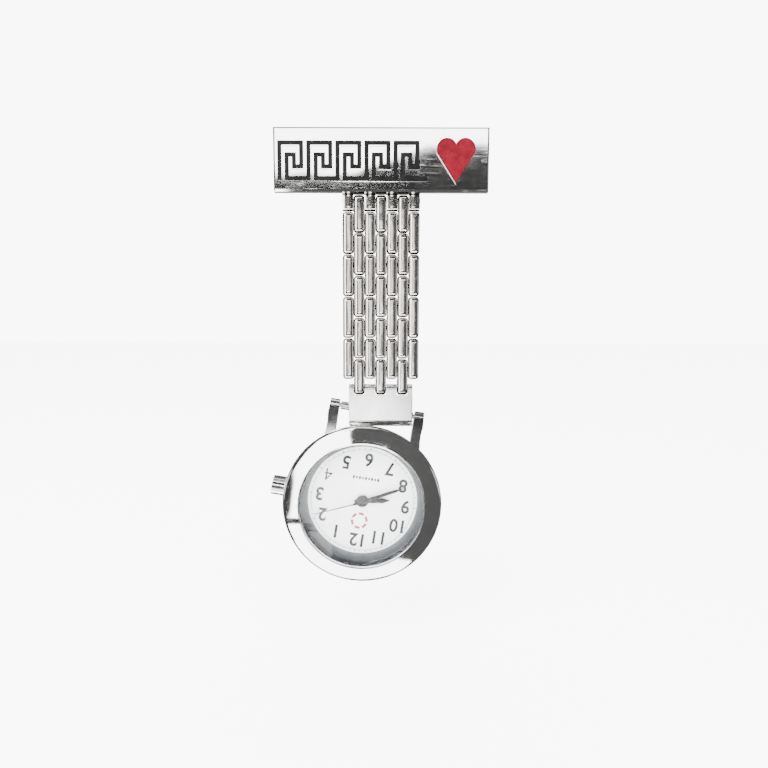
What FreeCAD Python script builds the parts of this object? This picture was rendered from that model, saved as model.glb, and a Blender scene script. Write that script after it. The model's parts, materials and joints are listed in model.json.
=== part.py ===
"""Fob watch: a brooch bar, a woven link strap and an inverted quartz watch head.

Frame: millimetres, +X to the viewer's right, +Y to the garment behind, +Z up.  The origin is the
middle of the straight shaft of the brooch needle.
"""
import FreeCAD, Part
import math
import os
import re

import Sketcher

SIZES = {
    # brooch bar and its rear fittings
    "bar_width": 37.9,
    "bar_height": 11.0,
    "bar_front": -3.5,
    "bar_back": -2.1,
    "bar_chamfer": 0.35,
    "base_width": 33.0,
    "base_height": 5.2,
    "base_back": -1.6,
    "rim_width": 0.16,
    "rim_height": 0.13,
    "cell_depth": 0.5,
    "enamel_drop": 0.06,
    "key_start": -17.8,
    "key_pitch": 5.08,
    "key_count": 5,
    "key_rise": 6.0,
    "key_stroke": 0.75,
    "key_level": -0.3,
    "heart_x": 13.1,
    "heart_z": 0.0,
    "heart_lobe": 1.8,
    "heart_spread": 1.6,
    "heart_lobe_rise": 1.8,
    "heart_tip": 4.0,
    "heart_tip_growth": 1.5,
    "rivet_x": 13.0,
    "rivet_radius": 0.35,
    "rivet_head_grow": 0.25,
    "rivet_reach": 1.6,
    "ear_inner": 0.9,
    "ear_thick": 0.4,
    "ear_radius": 0.95,
    "running_gap": 0.05,
    "needle_radius": 0.35,
    "needle_half": 10.0,
    "needle_neck": 0.75,
    "neck_length": 2.5,
    "needle_tip_x": -14.6,
    "needle_tip_radius": 0.05,
    "eyelet_radius": 0.85,
    "eyelet_half": 0.8,
    "catch_start": -10.8,
    "catch_end": -13.5,
    "catch_post": 0.6,
    "catch_radius": 1.05,
    "catch_bore": 0.6,
    "catch_slot": 0.5,
    "sleeve_radius": 1.4,
    "tab_start": 0.3,
    "tab_width": 0.8,
    "tab_half": 0.25,
    "tab_reach": 2.2,
    # woven strap
    "strap_y": -0.9,
    "pin_zero_z": -6.52,
    "link_pitch": 3.81,
    "column_pitch": 2.0,
    "link_width": 1.98,
    "link_half_depth": 1.0,
    "link_overhang": 1.87,
    "link_corner": 0.9,
    "link_round": 0.55,
    "pin_radius": 0.4,
    "pin_hole_radius": 0.43,
    "pin_end_gap": 0.06,
    "top_pin_proud": 0.1,
    "finger_width": 1.95,
    "finger_half_depth": 0.75,
    "finger_drop": 1.1,
    "hanger_half": 7.0,
    "hanger_top": -2.8,
    "hanger_bottom": -5.3,
    "hanger_back": -0.2,
    # end link, spring bar
    "end_half_width": 5.9,
    "end_half_depth": 1.3,
    "end_wall": 0.45,
    "end_round": 0.18,
    "end_top_drop": 1.1,
    "end_slot_top_drop": 2.31,
    "end_roll_drop": 5.61,
    "end_slot_drop": 5.03,
    "knuckle_width": 1.94,
    "bar_hang": 38.33,
    "bar_offset": -0.7,
    "bar_radius": 0.75,
    "bar_half": 6.8,
    "bar_tip_radius": 0.4,
    "bar_tip_reach": 7.9,
    "bar_flange": 1.2,
    "bar_spring_radius": 0.55,
    "bar_spring_wall": 0.2,
    "bar_spring_half": 5.0,
    "bar_bore": 0.6,
    # watch case
    "head_skew": 9.0,
    "lug_reach": 17.2,
    "lug_inner": 7.1,
    "lug_outer": 8.8,
    "lug_root": 10.6,
    "lug_flare": 2.5,
    "lug_flare_drop": 1.2,
    "lug_neck": 0.15,
    "lug_neck_drop": 1.6,
    "lug_sweep": 11.0,
    "lug_radius": 1.1,
    "lug_slope_start": 11.7,
    "lug_hole_deep": 1.1,
    "case_radius": 13.6,
    "case_bore": 11.8,
    "case_front": -2.2,
    "case_back": 2.4,
    "case_edge": 0.3,
    "groove_inner": 12.2,
    "groove_outer": 12.8,
    "groove_deep": 0.3,
    "lid_radius": 13.1,
    "lid_rim_back": 2.9,
    "lid_face_radius": 12.3,
    "lid_inside": 2.75,
    "lid_notch_half": 1.2,
    "lid_notch_deep": 0.5,
    "lid_notch_back": 2.7,
    "lid_skirt_outer": 11.75,
    "lid_skirt_inner": 11.0,
    "lid_skirt_front": 2.0,
    "back_face": 3.6,
    # bezel, crystal and dial
    "bezel_opening": 11.5,
    "bezel_front": -4.85,
    "bezel_lip": 0.2,
    "bezel_crown": 40.0,
    "bezel_brow": 14.03,
    "bezel_brow_y": -4.04,
    "bezel_shoulder": 1.0,
    "bezel_radius": 14.7,
    "bezel_wide_front": -3.1,
    "bezel_wide_back": -2.7,
    "bezel_seat": 14.4,
    "glass_bore": 11.8,
    "glass_radius": 11.7,
    "glass_step": 11.4,
    "glass_hollow_radius": 11.2,
    "glass_top": -5.35,
    "glass_hollow": -4.55,
    "glass_edge": -4.42,
    "glass_seat": -4.3,
    "glass_under": -3.6,
    "glass_curve": 66.7,
    "glass_hollow_curve": 63.0,
    "rehaut_outer": 11.75,
    "rehaut_top": -3.5,
    "rehaut_top_radius": 11.6,
    "rehaut_foot_radius": 10.3,
    "dial_front": -0.65,
    "dial_back": -0.35,
    "dial_radius": 11.75,
    "dial_hole": 0.95,
    # crown
    "crown_y": 0.3,
    "crown_start": 14.0,
    "crown_end": 17.3,
    "crown_radius": 1.85,
    "crown_ridges": 24,
    "ridge_height": 0.14,
    "recess_end": 15.35,
    "seal_start": 14.1,
    "seal_width": 0.4,
    "seal_thick": 0.3,
    "stem_radius": 0.35,
    "stem_end": 16.5,
    "stem_inner": 6.6,
    "tube_radius": 0.8,
    "tube_bore": 0.42,
    "tube_end": 15.2,
    "tube_root": 11.9,
    # movement plates, battery and electrical parts
    "plate_radius": 10.8,
    "plate_front": 0.05,
    "plate_back": 0.55,
    "stem_slot_half": 0.45,
    "bridge_front": 1.9,
    "bridge_back": 2.3,
    "bridge_half": 0.9,
    "foot_radius": 0.5,
    "holder_back": 1.9,
    "battery_radius": 3.4,
    "battery_distance": 7.0,
    "battery_front": 0.0,
    "battery_back": 2.6,
    "stator_left": 2.3,
    "stator_right": 8.0,
    "stator_low": 5.0,
    "stator_high": 6.95,
    "stator_front": 0.65,
    "stator_back": 1.1,
    "stator_hole": 1.0,
    "core_left": 7.2,
    "core_low": -2.6,
    "core_front": 1.05,
    "core_back": 1.9,
    "coil_radius": 0.9,
    "coil_bore": 0.62,
    "coil_low": -2.0,
    "coil_length": 6.6,
    "board_left": -7.0,
    "board_right": 0.6,
    "board_low": 3.9,
    "board_high": 7.8,
    "board_back": 0.85,
    "quartz_left": -6.2,
    "quartz_length": 5.0,
    "quartz_up": 6.4,
    "quartz_radius": 0.75,
    # gear train
    "train_first": 0.7,
    "train_step": 0.3,
    "wheel_thick": 0.15,
    "arbor_radius": 0.12,
    "arbor_front": 0.3,
    "arbor_back": 2.1,
    "jewel_radius": 0.17,
    "rotor_radius": 0.8,
    "rotor_back": 1.1,
    "rotor_leaf_proud": 0.2,
    "cannon_radius": 0.45,
    "cannon_bore": 0.22,
    "fourth_radius": 0.15,
    "pipe_radius": 0.8,
    "pipe_bore": 0.52,
    "stud_radius": 0.15,
    "stud_front": -0.34,
    "hour_gear_front": -0.33,
    "hour_gear_back": -0.2,
    "motion_split": -0.15,
    "motion_back": 0.0,
    # hands
    "hand_thick": 0.12,
    "boss_grow": 0.5,
    "boss_proud": 0.1,
    "hour_hand_front": -1.2,
    "minute_hand_front": -1.65,
    "seconds_hand_front": -2.1,
    "pipe_proud": 0.03,
    # how far cutting tools pass a surface or the whole watch, and how far joined solids sink in
    "overshoot": 1.0,
    "through": 5.0,
    "bite": 0.1,
}

# closer than this, two measures count as the same
TOLERANCE = 1e-3

# one repeat of the meander on a grid so many squares wide and high, from its lower left corner
KEY_GRID = (8, 6)
KEY_STEPS = ((0, 0), (0, 6), (6, 6), (6, 2), (4, 2), (4, 4), (2, 4), (2, 0), (8, 0))

# a tooth's root, pitch and tip: modules out from the pitch circle, and half its width there as a
# share of the distance between teeth
TOOTH_LEVELS = ((-1.15, 0.30), (0.0, 0.22), (0.85, 0.10))

# tooth counts of each wheel and of the pinion that it meshes with, and their shared module
CENTRE_THIRD = (80, 10, 0.085)
THIRD_FOURTH = (75, 10, 0.09)
FOURTH_FIFTH = (50, 10, 0.125)
FIFTH_ROTOR = (60, 10, 0.09)
MINUTE_CANNON = (36, 12, 0.1)
HOUR_MINUTE = (40, 10, 0.096)

# directions in the head's own plane, in degrees from its right towards its top
THIRD_BEARING = 200
FIFTH_BEARING = 60
MINUTE_BEARING = 120
BATTERY_BEARING = -60
BRIDGE_FEET = ((-7.9, -2.9), (2.2, 8.6))

# where the hands point at rest, in degrees clockwise from twelve
HOUR_HAND_ANGLE = 260
MINUTE_HAND_ANGLE = 242.6
SECONDS_HAND_ANGLE = 67

doc = FreeCAD.newDocument("FobWatch")
sheet = doc.addObject("Spreadsheet::Sheet", "Sizes")
nodes = []


def fill_sheet():
    """Write every driving dimension as a plain number with an alias."""
    for row, (alias, number) in enumerate(SIZES.items(), start=1):
        sheet.set(f"A{row}", alias)
        sheet.set(f"B{row}", str(number))
        sheet.setAlias(f"B{row}", alias)
    doc.recompute()


def sized(expression):
    """The expression with each alias written as a reference into the sheet."""
    return re.sub(r"[a-z_]+[a-z]", lambda m: "Sizes." + m[0] if m[0] in SIZES else m[0], str(expression))


def value(expression):
    """The number that an expression of sheet aliases comes to."""
    return float(sheet.evalExpression(sized(expression)))


def bind(thing, **expressions):
    """Tie properties of an object to expressions of sheet aliases."""
    for name, expression in expressions.items():
        thing.setExpression(name, sized(expression))


def spot(x, y, z):
    """A point from three expressions."""
    return FreeCAD.Vector(value(x), value(y), value(z))


def node(thing, label, frame=None):
    """Register a finished sub-part under its own label, standing in its frame."""
    thing.Label = label
    if frame is not None:
        thing.Placement = frame
    nodes.append(thing)
    return thing


# ---------------------------------------------------------------- solids from primitives

def block(low, high):
    """A box between two corners, each given as three expressions."""
    solid = doc.addObject("Part::Box", "block")
    bind(solid, Length=f"({high[0]}) - ({low[0]})", Width=f"({high[1]}) - ({low[1]})",
         Height=f"({high[2]}) - ({low[2]})")
    for axis, low_side in zip("xyz", low):
        solid.setExpression(f"Placement.Base.{axis}", sized(low_side))
    return solid


TURNS = {
    "x": FreeCAD.Rotation(FreeCAD.Vector(0, 1, 0), 90),
    "y": FreeCAD.Rotation(FreeCAD.Vector(1, 0, 0), -90),
    "z": FreeCAD.Rotation(),
}


def rod(axis, start, length, radius):
    """A cylinder that runs from start along +X, +Y or +Z."""
    solid = doc.addObject("Part::Cylinder", "rod")
    solid.Placement = FreeCAD.Placement(FreeCAD.Vector(), TURNS[axis])
    bind(solid, Height=length, Radius=radius)
    for letter, place in zip("xyz", start):
        solid.setExpression(f"Placement.Base.{letter}", sized(place))
    return solid


def cone(axis, start, length, near, far):
    """A cone frustum that runs from start along +X, +Y or +Z."""
    solid = doc.addObject("Part::Cone", "cone")
    solid.Placement = FreeCAD.Placement(FreeCAD.Vector(), TURNS[axis])
    bind(solid, Height=length, Radius1=near, Radius2=far)
    for letter, place in zip("xyz", start):
        solid.setExpression(f"Placement.Base.{letter}", sized(place))
    return solid


def joined(solids):
    """One solid from several."""
    fused = doc.addObject("Part::MultiFuse", "joined")
    fused.Shapes = solids
    fused.Refine = True
    return fused


def grouped(solids):
    """Separate solids kept side by side in one sub-part."""
    group = doc.addObject("Part::Compound", "grouped")
    group.Links = solids
    return group


def shared(solids):
    """What several solids have in common."""
    common = doc.addObject("Part::MultiCommon", "shared")
    common.Shapes = solids
    return common


def cut(solid, tools):
    """The solid less the tools."""
    result = doc.addObject("Part::Cut", "cut")
    result.Base = solid
    result.Tool = tools[0] if len(tools) == 1 else joined(tools)
    result.Refine = True
    return result


# ---------------------------------------------------------------- solids from sketches

def new_body(name):
    """An empty PartDesign body."""
    return doc.addObject("PartDesign::Body", name)


def new_sketch(body, plane):
    """A sketch on one of the body's own origin planes."""
    sketch = body.newObject("Sketcher::SketchObject", "sketch")
    origin_plane = next(f for f in body.Origin.OriginFeatures if f.Role == plane)
    sketch.AttachmentSupport = [(origin_plane, "")]
    sketch.MapMode = "FlatFace"
    return sketch


def fix_point(sketch, edge, end, x, y):
    """Tie one end of an edge to expressions, measured from the sketch's origin."""
    for direction, expression in (("DistanceX", x), ("DistanceY", y)):
        index = sketch.addConstraint(Sketcher.Constraint(direction, -1, 1, edge, end, value(expression)))
        sketch.setExpression(f"Constraints[{index}]", sized(expression))


def fix_radius(sketch, edge, radius):
    """Tie the radius of an arc or circle to an expression."""
    index = sketch.addConstraint(Sketcher.Constraint("Radius", edge, abs(value(radius))))
    sketch.setExpression(f"Constraints[{index}]", sized(f"abs({radius})"))


def arc_between(start, end, radius):
    """The short arc from start to end; a positive radius has its centre on the left."""
    chord = end - start
    left = FreeCAD.Vector(-chord.y, chord.x, 0).normalize()
    height = math.sqrt(max(radius * radius - chord.Length ** 2 / 4, 0))
    centre = (start + end) * 0.5 + left * math.copysign(height, radius)
    first, last = (start, end) if radius > 0 else (end, start)
    angles = [math.atan2(p.y - centre.y, p.x - centre.x) for p in (first, last)]
    return Part.ArcOfCircle(Part.Circle(centre, FreeCAD.Vector(0, 0, 1), abs(radius)), *angles)


def outline(sketch, corners):
    """A closed loop through corners given as expressions.

    A third entry curves the edge that arrives at that corner, with its centre on the left of the
    way round if the radius is positive.
    """
    spots = [FreeCAD.Vector(value(c[0]), value(c[1]), 0) for c in corners]
    edges = []
    for index, start in enumerate(spots):
        after = (index + 1) % len(corners)
        if len(corners[after]) == 3:
            radius = value(corners[after][2])
            edge = sketch.addGeometry(arc_between(start, spots[after], radius))
            edges.append((edge, 1, 2) if radius > 0 else (edge, 2, 1))
        else:
            edge = sketch.addGeometry(Part.LineSegment(start, spots[after]))
            edges.append((edge, 1, 2))
    for index, (edge, begin, _) in enumerate(edges):
        before = edges[index - 1]
        sketch.addConstraint(Sketcher.Constraint("Coincident", before[0], before[2], edge, begin))
        fix_point(sketch, edge, begin, *corners[index][:2])
        after = corners[(index + 1) % len(corners)]
        if len(after) == 3:
            fix_radius(sketch, edge, after[2])


def circle(sketch, x, y, radius):
    """A circle about a point given as expressions."""
    centre = FreeCAD.Vector(value(x), value(y), 0)
    edge = sketch.addGeometry(Part.Circle(centre, FreeCAD.Vector(0, 0, 1), value(radius)))
    fix_radius(sketch, edge, radius)
    fix_point(sketch, edge, 3, x, y)


def pad(body, sketch, length, symmetric=False):
    """Extrude a sketch of the body."""
    feature = body.newObject("PartDesign::Pad", "pad")
    feature.Profile = sketch
    if symmetric:
        feature.SideType = "Symmetric"
    bind(feature, Length=length)
    return feature


def turned(name, corners):
    """A body of revolution about its own Y axis, from (radius, y) corners."""
    body = new_body(name)
    sketch = new_sketch(body, "XY_Plane")
    outline(sketch, corners)
    turning = body.newObject("PartDesign::Revolution", "turning")
    turning.Profile = sketch
    turning.ReferenceAxis = (sketch, ["V_Axis"])
    turning.Angle = 360
    return body


def ring(name, inner, outer, front, back):
    """A plain ring or, with an inner radius of 0, a disc."""
    return turned(name, [(inner, front), (outer, front), (outer, back), (inner, back)])


# ---------------------------------------------------------------- brooch

def key_corners(start):
    """Corners of the centreline of one meander repeat that begins at start."""
    across = value("key_pitch") / KEY_GRID[0]
    rise = value("key_rise") / KEY_GRID[1]
    bottom = value("key_level - key_rise / 2")
    return [(start + a * across, bottom + b * rise) for a, b in KEY_STEPS]


def key_band(half_stroke, front, back):
    """The whole meander as one solid band between two depths."""
    strokes = []
    for repeat in range(int(value("key_count"))):
        line = key_corners(value("key_start") + repeat * value("key_pitch"))
        for (x0, z0), (x1, z1) in zip(line, line[1:]):
            low = FreeCAD.Vector(min(x0, x1) - half_stroke, front, min(z0, z1) - half_stroke)
            strokes.append(Part.makeBox(abs(x1 - x0) + 2 * half_stroke, back - front,
                                        abs(z1 - z0) + 2 * half_stroke, low))
    return strokes[0].multiFuse(strokes[1:]).removeSplitter()


def heart(grow, front, back):
    """A heart: two round lobes and the tangents from them to the tip."""
    lobe = value("heart_lobe") + grow
    spread = value("heart_spread")
    rise = value("heart_lobe_rise")
    tip = -value("heart_tip") - grow * value("heart_tip_growth")
    reach = math.hypot(spread, rise - tip)
    angle = math.atan2(tip - rise, -spread) + math.acos(lobe / reach)
    touch = (spread + lobe * math.cos(angle), rise + lobe * math.sin(angle))
    notch = rise + math.sqrt(lobe ** 2 - spread ** 2)
    place = FreeCAD.Vector(value("heart_x"), front, value("heart_z"))

    def at(x, z):
        return place + FreeCAD.Vector(x, 0, z)

    top_angle = math.pi / 4
    shoulder = (spread + lobe * math.cos(top_angle), rise + lobe * math.sin(top_angle))
    edges = [
        Part.Arc(at(0, notch), at(*shoulder), at(*touch)).toShape(),
        Part.LineSegment(at(*touch), at(0, tip)).toShape(),
        Part.LineSegment(at(0, tip), at(-touch[0], touch[1])).toShape(),
        Part.Arc(at(-touch[0], touch[1]), at(-shoulder[0], shoulder[1]), at(0, notch)).toShape(),
    ]
    return Part.Face(Part.Wire(edges)).extrude(FreeCAD.Vector(0, back - front, 0))


def shaped(name, shape):
    """A feature that holds a shape made by Part's own functions."""
    feature = doc.addObject("Part::Feature", name)
    feature.Shape = shape
    return feature


def make_bar():
    """The polished front plate with its enamel cells and their raised rims."""
    half_stroke = value("key_stroke") / 2
    rim = value("rim_width")
    face = value("bar_front")
    crest = face - value("rim_height")
    floor = face + value("cell_depth")
    slab = new_body("bar_blank")
    sketch = new_sketch(slab, "XZ_Plane")
    outline(sketch, [("-bar_width / 2", "-bar_height / 2"), ("bar_width / 2", "-bar_height / 2"),
                     ("bar_width / 2", "bar_height / 2"), ("-bar_width / 2", "bar_height / 2")])
    plate = pad(slab, sketch, "bar_back - bar_front")
    slab.Placement.Base = spot(0, "bar_back", 0)
    doc.recompute()
    front = plate.Shape.BoundBox.YMin + TOLERANCE
    front_edges = [f"Edge{i}" for i, e in enumerate(plate.Shape.Edges, start=1) if e.BoundBox.YMax < front]
    edging = slab.newObject("PartDesign::Chamfer", "edging")
    edging.Base = (plate, front_edges)
    bind(edging, Size="bar_chamfer")
    slab.Tip = edging
    key_rim = shaped("key_rim", key_band(half_stroke + rim, crest, face))
    heart_rim = shaped("heart_rim", heart(rim, crest, face))
    key_cell = shaped("key_cell", key_band(half_stroke, crest, floor))
    heart_cell = shaped("heart_cell", heart(0, crest, floor))
    rimmed = joined([slab, key_rim, heart_rim])
    node(cut(rimmed, [key_cell, heart_cell]), "bar_plate")
    surface = crest + value("enamel_drop")
    node(shaped("enamel_black", key_band(half_stroke, surface, floor)), "enamel_black")
    node(shaped("enamel_red", heart(0, surface, floor)), "enamel_red")


def make_base():
    """The rear strip with the needle's hinge ears and the fixed catch."""
    strip = block(("-base_width / 2", "bar_back", "-base_height / 2"),
                  ("base_width / 2", "base_back", "base_height / 2"))
    ears = []
    for side in (-1, 1):
        near = "ear_inner" if side > 0 else "-ear_inner - ear_thick"
        ears.append(rod("z", ("rivet_x", 0, near), "ear_thick", "ear_radius"))
        ears.append(block(("rivet_x - ear_radius", "base_back - bite", near),
                          ("rivet_x + ear_radius", 0, f"{near} + ear_thick")))
    rivet_hole = rod("z", ("rivet_x", 0, "-rivet_reach"), "2 * rivet_reach", "rivet_radius")
    barrel = rod("x", ("catch_end", 0, 0), "catch_start - catch_end", "catch_radius")
    posts = [
        block((low, "base_back - bite", "-catch_radius"), (f"{low} + catch_post", 0, "catch_radius"))
        for low in ("catch_end", "catch_start - catch_post")
    ]
    bore = rod("x", ("catch_end - overshoot", 0, 0), "catch_start - catch_end + 2 * overshoot", "catch_bore")
    mouth = block(("catch_end - overshoot", 0, "-catch_slot"),
                  ("catch_start + overshoot", "through", "catch_slot"))
    node(cut(joined([strip, *ears, barrel, *posts]), [rivet_hole, bore, mouth]), "brooch_base")


def make_catch_sleeve():
    """The turning sleeve that shuts the catch's mouth, with its thumb tab."""
    low = "catch_end + catch_post + running_gap"
    length = "catch_start - catch_end - 2 * catch_post - 2 * running_gap"
    drum = rod("x", (low, 0, 0), length, "sleeve_radius")
    tab = block((f"{low} + tab_start", "-tab_half", "catch_radius + running_gap"),
                (f"{low} + tab_start + tab_width", "tab_half", "tab_reach"))
    bore = rod("x", (f"{low} - overshoot", 0, 0), f"{length} + 2 * overshoot", "catch_radius + running_gap")
    mouth = block((f"{low} - overshoot", 0, "-catch_slot"),
                  (f"{low} + {length} + overshoot", "through", "catch_slot"))
    node(cut(joined([drum, tab]), [bore, mouth]), "catch_sleeve")


def make_needle():
    """The brooch needle: eyelet, neck, straight shaft and point, and the rivet it turns on."""
    eyelet = rod("z", ("rivet_x", 0, "-eyelet_half"), "2 * eyelet_half", "eyelet_radius")
    neck = cone("x", ("needle_half", 0, 0), "neck_length", "needle_radius", "needle_neck")
    shaft = rod("x", ("-needle_half", 0, 0), "2 * needle_half", "needle_radius")
    point = cone("x", ("needle_tip_x", 0, 0), "-needle_half - needle_tip_x", "needle_tip_radius",
                 "needle_radius")
    bore = rod("z", ("rivet_x", 0, "-rivet_reach"), "2 * rivet_reach", "rivet_radius + running_gap")
    node(cut(joined([eyelet, neck, shaft, point]), [bore]), "brooch_needle")
    shank = rod("z", ("rivet_x", 0, "-rivet_reach"), "2 * rivet_reach", "rivet_radius")
    heads = [rod("z", ("rivet_x", 0, start), "rivet_reach - ear_inner - ear_thick",
                 "rivet_radius + rivet_head_grow")
             for start in ("ear_inner + ear_thick", "-rivet_reach")]
    node(joined([shank, *heads]), "needle_rivet")


def make_hanger():
    """The bracket behind the bar whose fingers carry the top pin of the strap."""
    back = block(("-hanger_half", "bar_back", "hanger_bottom"), ("hanger_half", "hanger_back", "hanger_top"))
    fingers = []
    for column in (-3, -1, 1, 3):
        low = f"{column} * column_pitch - finger_width / 2"
        tip = "pin_zero_z - finger_drop"
        fingers.append(block((low, "strap_y - finger_half_depth", tip),
                             (f"{low} + finger_width", "strap_y + finger_half_depth",
                              "hanger_bottom + overshoot")))
        fingers.append(rod("x", (low, "strap_y", tip), "finger_width", "finger_half_depth"))
    hole = rod("x", ("-hanger_half - overshoot", "strap_y", "pin_zero_z"), "2 * (hanger_half + overshoot)",
               "pin_radius")
    node(cut(joined([back, *fingers]), [hole]), "strap_hanger")


# ---------------------------------------------------------------- strap

def pin_z(index):
    """The height of a strap pin as an expression."""
    return f"(pin_zero_z - {index} * link_pitch)"


def link_outline(top_eye, bottom_eye):
    """The side outline of a link, with its origin at the upper pin."""
    deep = "link_half_depth"
    bottom = "-link_pitch"
    flat = "link_half_depth - link_corner"
    corners = [(f"-{deep}", f"{bottom} - link_overhang + link_corner"),
               (f"-({flat})", f"{bottom} - link_overhang", "link_corner"),
               (flat, f"{bottom} - link_overhang"),
               (deep, f"{bottom} - link_overhang + link_corner", "link_corner")]
    if bottom_eye:
        corners = [(f"-{deep}", bottom), ("0", f"{bottom} - {deep}", deep), (deep, bottom, deep)]
    if top_eye:
        return corners + [(deep, "0"), ("0", deep, deep), (f"-{deep}", "0", deep)]
    return corners + [(deep, "link_overhang - link_corner"), (flat, "link_overhang", "link_corner"),
                      (f"-({flat})", "link_overhang"),
                      (f"-{deep}", "link_overhang - link_corner", "link_corner")]


def side_edges(shape, half_width):
    """Names of the outline edges on the flat sides of links that are repeated along X."""
    pitch = value("column_pitch") * 2
    names = []
    for number, edge in enumerate(shape.Edges, start=1):
        box = edge.BoundBox
        offset = (box.XMin + half_width) % pitch
        from_side = min(offset, pitch - offset, abs(offset - 2 * half_width))
        if box.XLength < TOLERANCE and from_side < TOLERANCE:
            names.append(f"Edge{number}")
    return names


def rounded(body, base, edges, radius):
    """Fillet the named edges of a body's last feature."""
    rounding = body.newObject("PartDesign::Fillet", "rounding")
    rounding.Base = (base, edges)
    bind(rounding, Radius=radius)
    body.Tip = rounding
    doc.recompute()
    return rounding


def drilled(body, places, radius, length):
    """Pocket round holes along X at places in the body's YZ plane."""
    before = body.Shape.Volume
    holes = new_sketch(body, "YZ_Plane")
    for place in places:
        circle(holes, *place, radius)
    drilling = body.newObject("PartDesign::Pocket", "drilling")
    drilling.Profile = holes
    drilling.SideType = "Symmetric"
    bind(drilling, Length=length)
    body.Tip = drilling
    doc.recompute()
    if body.Shape.Volume > before - TOLERANCE:
        raise RuntimeError("the holes cut nothing")


def link_row(row):
    """One row of links that swings on the pin above it, with the pins that it carries."""
    odd = row % 2 == 1
    count = 3 if odd else 4
    body = new_body(f"row_{row}")
    sketch = new_sketch(body, "YZ_Plane")
    outline(sketch, link_outline(row == 1, row == 9))
    first_link = pad(body, sketch, "link_width", symmetric=True)
    doc.recompute()
    repeat = body.newObject("PartDesign::LinearPattern", "repeat")
    repeat.Originals = [first_link]
    repeat.Direction = (next(f for f in body.Origin.OriginFeatures if f.Role == "X_Axis"), [""])
    repeat.Occurrences = count
    bind(repeat, Length=f"{count - 1} * 2 * column_pitch")
    body.Tip = repeat
    doc.recompute()
    rounded(body, repeat, side_edges(repeat.Shape, value("link_width") / 2), "link_round")
    hole = "pin_hole_radius" if odd else "pin_radius"
    drilled(body, [("0", "0"), ("0", "-link_pitch")], hole, f"{count} * 4 * column_pitch")
    first = f"-{count - 1} * column_pitch"
    place = FreeCAD.Placement(spot(first, "strap_y", pin_z(row - 1)), FreeCAD.Rotation())
    node(body, f"strap_row_{row}", place)
    if not odd:
        half = "(3 * column_pitch + link_width / 2 - pin_end_gap)"
        pins = [rod("x", (f"-{half}", "strap_y", pin_z(k)), f"2 * {half}", "pin_radius")
                for k in (row - 1, row)]
        node(grouped(pins), f"strap_pins_row_{row}")


def make_strap():
    """Nine rows of links, and the pin that joins the first to the hanger."""
    for row in range(1, 10):
        link_row(row)
    half = "(3 * column_pitch + finger_width / 2 + top_pin_proud)"
    node(grouped([rod("x", (f"-{half}", "strap_y", pin_z(0)), f"2 * {half}", "pin_radius")]), "strap_pin_top")


def make_end_link():
    """The flat end link: knuckles on the last pin and a rolled loop for the spring bar."""
    last = pin_z(9)
    deep = "end_half_depth"
    inner = "(end_half_depth - end_wall)"
    body = new_body("end_link_body")
    sketch = new_sketch(body, "YZ_Plane")
    outline(sketch, [(f"-{deep}", "-end_top_drop"), (f"-{deep}", "-end_roll_drop"),
                     ("0", f"-end_roll_drop - {deep}", deep), (deep, "-end_roll_drop", deep),
                     (deep, "-end_top_drop")])
    outline(sketch, [(f"-{inner}", "-end_slot_top_drop"), (f"-{inner}", "-end_slot_drop"),
                     ("0", f"-end_slot_drop - {inner}", inner), (inner, "-end_slot_drop", inner),
                     (inner, "-end_slot_top_drop")])
    plate = pad(body, sketch, "2 * end_half_width", symmetric=True)
    doc.recompute()
    edges = [f"Edge{i}" for i, e in enumerate(plate.Shape.Edges, start=1) if e.BoundBox.XLength < TOLERANCE]
    rounded(body, plate, edges, "end_round")
    body.Placement.Base = spot(0, "strap_y", last)
    knuckles = []
    near = "column_pitch - knuckle_width / 2"
    outer_start = "3 * column_pitch - knuckle_width / 2"
    spans = [("-end_half_width", f"-({outer_start})"), (f"-({near}) - knuckle_width", f"-({near})"),
             (near, f"{near} + knuckle_width"), (outer_start, "end_half_width")]
    for low, high in spans:
        width = f"({high}) - ({low})"
        knuckles.append(rod("x", (low, "strap_y", last), width, "link_half_depth"))
        knuckles.append(block((low, "strap_y - link_half_depth", f"{last} - end_top_drop - end_round"),
                              (high, "strap_y + link_half_depth", last)))
    hole = rod("x", ("-end_half_width - overshoot", "strap_y", last), "2 * (end_half_width + overshoot)",
               "pin_radius")
    node(cut(joined([body, *knuckles]), [hole]), "end_link")
    pin = rod("x", ("-end_half_width", "strap_y", last), "2 * end_half_width", "pin_radius")
    node(grouped([pin]), "strap_pin_bottom")


# ---------------------------------------------------------------- watch head

def head_frame():
    """The head's own frame: dial centre, turned with the skewed head."""
    skew = math.radians(value("head_skew"))
    reach = value("lug_reach")
    bar_z = value("pin_zero_z - bar_hang")
    centre = FreeCAD.Vector(value("bar_offset") - reach * math.sin(skew), value("strap_y"),
                            bar_z - reach * math.cos(skew))
    return FreeCAD.Placement(centre, FreeCAD.Rotation(FreeCAD.Vector(0, 1, 0), value("head_skew")))


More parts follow.
